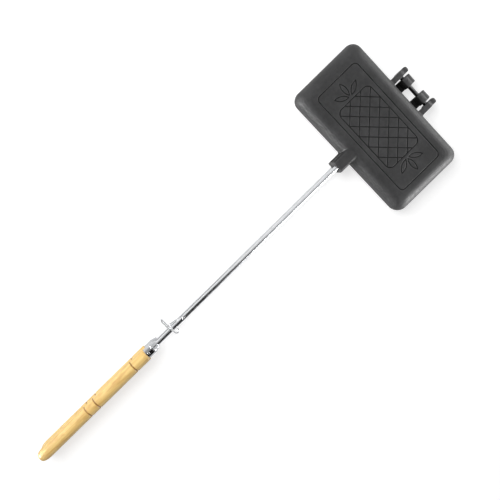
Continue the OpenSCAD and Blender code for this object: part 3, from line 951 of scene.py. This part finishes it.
class PIEIRON_OT_keeper(bpy.types.Operator):
    """Bends the wire keeper and sets the rivet that it turns on"""

    bl_idname = "pie_iron.keeper"
    bl_label = "Wire Keeper"

    def execute(self, context):
        steel = context.scene.pie_iron.steel
        zinc = plated_steel("wire_steel", steel.wire_color, 0.3, (4 * MM,) * 3, metal=0.7)
        steps = [
            ("REMESH", {"mode": "VOXEL", "voxel_size": 0.2 * MM}),
            ("SMOOTH", {"factor": 0.5, "iterations": 6}),
        ]
        mesh = worked_mesh(welded_copy("latch_wire"), steps)
        add_piece("bent_latch_wire", mesh, KEEPER, "latch_wire", zinc, sharp=180)
        middle, size = box_middle("latch_rivet")
        foot = Vector((middle.x, 0, middle.z - size.z / 2))
        profile = self.headed(size.z, size.x / 2)
        mesh = lathe("latch_rivet", profile, foot, (0, 0, 1), segments=48)
        add_piece("headed_latch_rivet", mesh, LOWER, "latch_rivet", zinc, sharp=50)
        return {"FINISHED"}

    def headed(self, tall, head):
        """Half section of a rivet with a domed head at either end."""
        shank = 1.3 * MM
        dome = 1.0 * MM
        lower = arc((dome, 0.0), dome, 180, 90, 8, head) + [(dome, shank)]
        return lower + [(tall - at, radius) for at, radius in reversed(lower)]


# ---- Stage ----


def soft_light(name, place, aim, size, power, spread=180):
    """A rectangular light that the camera doesn't see."""
    lamp = bpy.data.lights.new(name, "AREA")
    lamp.shape = "RECTANGLE"
    lamp.size, lamp.size_y = size
    lamp.energy = power
    lamp.spread = math.radians(spread)
    holder = bpy.data.objects.new(name, lamp)
    holder.location = place
    holder.rotation_euler = (Vector(aim) - Vector(place)).to_track_quat("-Z", "Y").to_euler()
    holder.visible_camera = False
    bpy.context.scene.collection.objects.link(holder)
    return holder


def seen_rays(nodes, links):
    """One for rays from the camera, off gloss and through glass, else zero."""
    path = nodes.new("ShaderNodeLightPath")
    total = path.outputs["Is Camera Ray"]
    for name in ("Is Glossy Ray", "Is Transmission Ray"):
        larger = nodes.new("ShaderNodeMath")
        larger.operation = "MAXIMUM"
        links.new(total, larger.inputs[0])
        links.new(path.outputs[name], larger.inputs[1])
        total = larger.outputs[0]
    return total


def card_paint(name, glow):
    """Matt paint of a studio card that is as bright as glow."""
    paint = Finish(name)
    paint.set("Base Color", (0.02, 0.02, 0.02))
    paint.set("Roughness", 1.0)
    paint.set("Specular IOR Level", 0.0)
    paint.set("Emission Color", (1.0, 1.0, 1.0))
    paint.set("Emission Strength", glow)
    return paint.material


def stage_sheet(name, corners, material):
    """A flat sheet with one face, for the floor or a studio card."""
    mesh = bpy.data.meshes.new(name)
    mesh.from_pydata(corners, [], [tuple(range(len(corners)))])
    mesh.materials.append(material)
    sheet = bpy.data.objects.new(name, mesh)
    bpy.context.scene.collection.objects.link(sheet)
    return sheet


def gloss_card(name, corners, material):
    """A studio card that shows only in the gloss of the steel and the iron."""
    card = stage_sheet(name, corners, material)
    card.visible_camera = False
    card.visible_diffuse = False
    card.visible_transmission = False
    card.visible_volume_scatter = False
    card.visible_shadow = False


class PIEIRON_OT_stage(bpy.types.Operator):
    """Sets the pale floor, the soft lights and the camera"""

    bl_idname = "pie_iron.stage"
    bl_label = "Stage"

    def execute(self, context):
        stage = context.scene.pie_iron.stage
        self.make_floor(stage)
        self.make_world(context.scene, stage)
        self.make_lights(stage)
        self.make_cards()
        self.make_camera(context.scene, stage)
        context.scene.view_settings.view_transform = "Standard"
        return {"FINISHED"}

    def make_lights(self, stage):
        """One large light, and low ones that only gloss shows."""
        main = soft_light("main_light", *MAIN_LIGHT, stage.main_power)
        main.visible_glossy = False
        for name, place, aim, size, share in GLOSS_LIGHTS:
            lamp = soft_light(name, place, aim, size, share * stage.sheen_power, GLOSS_SPREAD)
            lamp.visible_diffuse = False

    def make_camera(self, scene, stage):
        """The camera of the picture."""
        camera = bpy.data.cameras.new("camera")
        camera.lens = stage.lens
        camera.sensor_width = 36
        camera.clip_start = 0.01
        camera.clip_end = 100
        holder = bpy.data.objects.new("camera", camera)
        holder.location = stage.camera_place
        holder.rotation_euler = stage.camera_turn
        scene.collection.objects.link(holder)
        scene.camera = holder

    def make_floor(self, stage):
        """Paper that takes the soft shadow, lifted towards white where it is seen."""
        paper = Finish("floor_paper")
        paper.set("Base Color", (0.5, 0.5, 0.5))
        paper.set("Roughness", 0.9)
        paper.set("Specular IOR Level", 0.1)
        paper.set("Emission Color", (1.0, 1.0, 1.0))
        reach = paper.add("ShaderNodeVectorMath", {0: paper.place}, operation="LENGTH")
        lift = paper.spread(reach.outputs["Value"], *FLOOR_PALES, stage.floor_lift, 1.0)
        seen = seen_rays(paper.nodes, paper.links)
        paper.set("Emission Strength", paper.work("MULTIPLY", seen, lift))
        signs = ((-1, -1), (1, -1), (1, 1), (-1, 1))
        corners = [(x * FLOOR_HALF, y * FLOOR_HALF, 0) for x, y in signs]
        stage_sheet("floor", corners, paper.material)

    def make_world(self, scene, stage):
        """Even light from all round, which is white where it is seen."""
        world = bpy.data.worlds.new("studio")
        world.use_nodes = True
        scene.world = world
        nodes = world.node_tree.nodes
        links = world.node_tree.links
        plain = nodes["Background"]
        plain.inputs["Color"].default_value = (1, 1, 1, 1)
        plain.inputs["Strength"].default_value = stage.ambient
        white = nodes.new("ShaderNodeBackground")
        white.inputs["Color"].default_value = (1, 1, 1, 1)
        white.inputs["Strength"].default_value = 1.0
        blend = nodes.new("ShaderNodeMixShader")
        links.new(seen_rays(nodes, links), blend.inputs[0])
        links.new(plain.outputs[0], blend.inputs[1])
        links.new(white.outputs[0], blend.inputs[2])
        links.new(blend.outputs[0], nodes["World Output"].inputs["Surface"])

    def make_cards(self):
        """Cards that give bright steel its dark and grey lines."""
        dark = card_paint("dark_card", 0.0)
        grey = card_paint("grey_card", 0.55)
        gloss_card("card_above", [(x, y, CARD_HEIGHT) for x, y in DARK_CARD], dark)
        (left, back), (right, back) = DARK_CARD[10:12]
        wall = ((left, 0), (right, 0), (right, CARD_HEIGHT), (left, CARD_HEIGHT))
        gloss_card("card_behind", [(x, back, z) for x, z in wall], dark)
        gloss_card("card_beside", [(x, y, CARD_HEIGHT) for x, y in GREY_CARD], grey)


class PIEIRON_PT_panel(bpy.types.Panel):
    """Lists the pieces and their settings"""

    bl_idname = "PIEIRON_PT_panel"
    bl_label = "Pie Iron"
    bl_space_type = "VIEW_3D"
    bl_region_type = "UI"
    bl_category = "Pie Iron"

    def draw(self, context):
        settings = context.scene.pie_iron
        for operator in OPERATORS:
            self.layout.operator(operator.bl_idname)
        for group in (settings.cast, settings.wood, settings.steel, settings.stage):
            box = self.layout.box()
            for key in group.__annotations__:
                box.prop(group, key)


OPERATORS = (
    PIEIRON_OT_cast_shells,
    PIEIRON_OT_rods,
    PIEIRON_OT_ferrules,
    PIEIRON_OT_handles,
    PIEIRON_OT_pins,
    PIEIRON_OT_keeper,
    PIEIRON_OT_stage,
)
CLASSES = (
    CastSettings,
    WoodSettings,
    SteelSettings,
    StageSettings,
    PieIronSettings,
    *OPERATORS,
    PIEIRON_PT_panel,
)


def register():
    for kind in CLASSES:
        bpy.utils.register_class(kind)
    bpy.types.Scene.pie_iron = PointerProperty(type=PieIronSettings)


def unregister():
    del bpy.types.Scene.pie_iron
    for kind in reversed(CLASSES):
        bpy.utils.unregister_class(kind)


def write_sizes():
    """Updates the view layer."""
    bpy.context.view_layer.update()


def main():
    """Makes every piece and the stage."""
    register()
    for operator in OPERATORS:
        group, name = operator.bl_idname.split(".")
        getattr(getattr(bpy.ops, group), name)()
    write_sizes()


if __name__ == "__main__":
    main()
